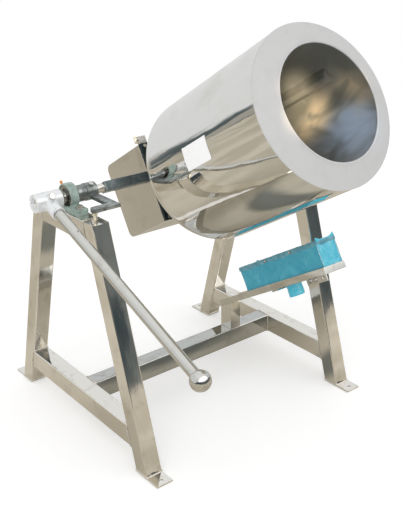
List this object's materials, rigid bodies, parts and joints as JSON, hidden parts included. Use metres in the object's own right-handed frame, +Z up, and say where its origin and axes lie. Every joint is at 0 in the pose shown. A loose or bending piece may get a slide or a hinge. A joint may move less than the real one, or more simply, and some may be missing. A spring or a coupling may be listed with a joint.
{
  "type": "tilting coating mixer",
  "caption": "Tilting coating mixer: a motor-driven polished pan on a tilt shaft between A-frames, tipped by a hand lever, with a sloping tray and box.",
  "frame": {"origin": "on the floor, at the centre of the foot plates' bolt pattern, under the tilt shaft", "axes": "+Z up; X runs along the tilt shaft with the hand lever on -X; the pan's mouth looks towards -Y and up"},
  "size_m": [0.8595, 1.0632, 1.1533],
  "materials": {
    "stand_steel": "satin",
    "tray_steel": "satin",
    "pan_steel": "polished",
    "pan_inner_steel": "satin",
    "cast_grey": "satin",
    "bearing_steel": "polished",
    "shaft_steel": "polished",
    "fastener_steel": "satin",
    "zinc_yellow": "satin",
    "cap_orange": "matte",
    "film_blue": "glossy",
    "hub_cast": "satin",
    "dark_steel": "satin",
    "drive_paint": "satin",
    "gear_steel": "satin"
  },
  "bodies": {
    "stand": {"left_front_leg": "stand_steel", "left_back_leg": "stand_steel", "left_top_beam": "stand_steel", "left_crossbar": "stand_steel", "right_front_leg": "stand_steel", "right_back_leg": "stand_steel", "right_top_beam": "stand_steel", "right_crossbar": "stand_steel", "long_beam": "stand_steel", "foot_plates": "stand_steel", "left_bearing_housing": "cast_grey", "right_bearing_housing": "cast_grey", "bearing_outer_rings": "bearing_steel", "bearing_balls": "bearing_steel", "bearing_bolts": "fastener_steel", "grease_nipples": "cap_orange", "stop_bolt": "zinc_yellow", "stop_locknut": "zinc_yellow", "tray_post": "stand_steel", "tray": "tray_steel", "tray_bracket": "tray_steel", "tray_bolts": "fastener_steel", "box_body": "film_blue", "box_lid": "film_blue", "box_spigot": "film_blue", "lid_screws": "fastener_steel"},
    "tilting_drive": {"bearing_inner_rings": "bearing_steel", "left_tilt_shaft": "shaft_steel", "right_tilt_shaft": "shaft_steel", "left_carrier_bar": "dark_steel", "right_carrier_bar": "dark_steel", "lever_hub": "hub_cast", "clamp_bolts": "fastener_steel", "lever_rod": "shaft_steel", "ball_knob": "shaft_steel", "shaft_collar": "dark_steel", "stop_arm": "dark_steel", "mounting_plate": "dark_steel", "plate_lug": "tray_steel", "wing_screw": "zinc_yellow", "drive_cover": "tray_steel", "plate_screws": "fastener_steel", "pan_bearing_housing": "cast_grey", "pan_bearing_bolts": "fastener_steel", "pan_bearing_outers": "bearing_steel", "pan_bearing_balls": "bearing_steel", "gear_case": "drive_paint", "motor_flange": "drive_paint", "gear_pin": "shaft_steel", "motor_case": "drive_paint"},
    "pan": {"pan_shell": "pan_steel", "pan_lip": "pan_steel", "mixing_flights": "pan_inner_steel", "pan_hub": "pan_inner_steel", "hub_studs": "fastener_steel", "output_shaft": "shaft_steel", "output_gear": "gear_steel", "pan_bearing_inners": "bearing_steel"},
    "middle_gear": {"middle_gear": "gear_steel"},
    "motor_rotor": {"motor_rotor": "gear_steel"}
  },
  "joints": [
    {"name": "tilt", "type": "hinge", "parent": "stand", "child": "tilting_drive", "pos_m": [0, 0, 0.6965], "axis": [-1, 0, 0], "range_deg": [0, 188]},
    {"name": "pan_spin", "type": "hinge", "parent": "tilting_drive", "child": "pan", "pos_m": [0, -0.56524, 0.97804], "axis": [0, -0.8625, 0.506], "continuous": true},
    {"name": "middle_gear_spin", "type": "hinge", "parent": "tilting_drive", "child": "middle_gear", "pos_m": [0.02786, -0.01032, 0.6789], "axis": [0, -0.8625, 0.506], "continuous": true},
    {"name": "motor_spin", "type": "hinge", "parent": "tilting_drive", "child": "motor_rotor", "pos_m": [0, 0.04864, 0.64107], "axis": [0, -0.8625, 0.506], "continuous": true}
  ],
  "couplings": [
    {"joint": "middle_gear_spin", "follows": "pan_spin", "ratio": -5},
    {"joint": "motor_spin", "follows": "pan_spin", "ratio": 30}
  ]
}
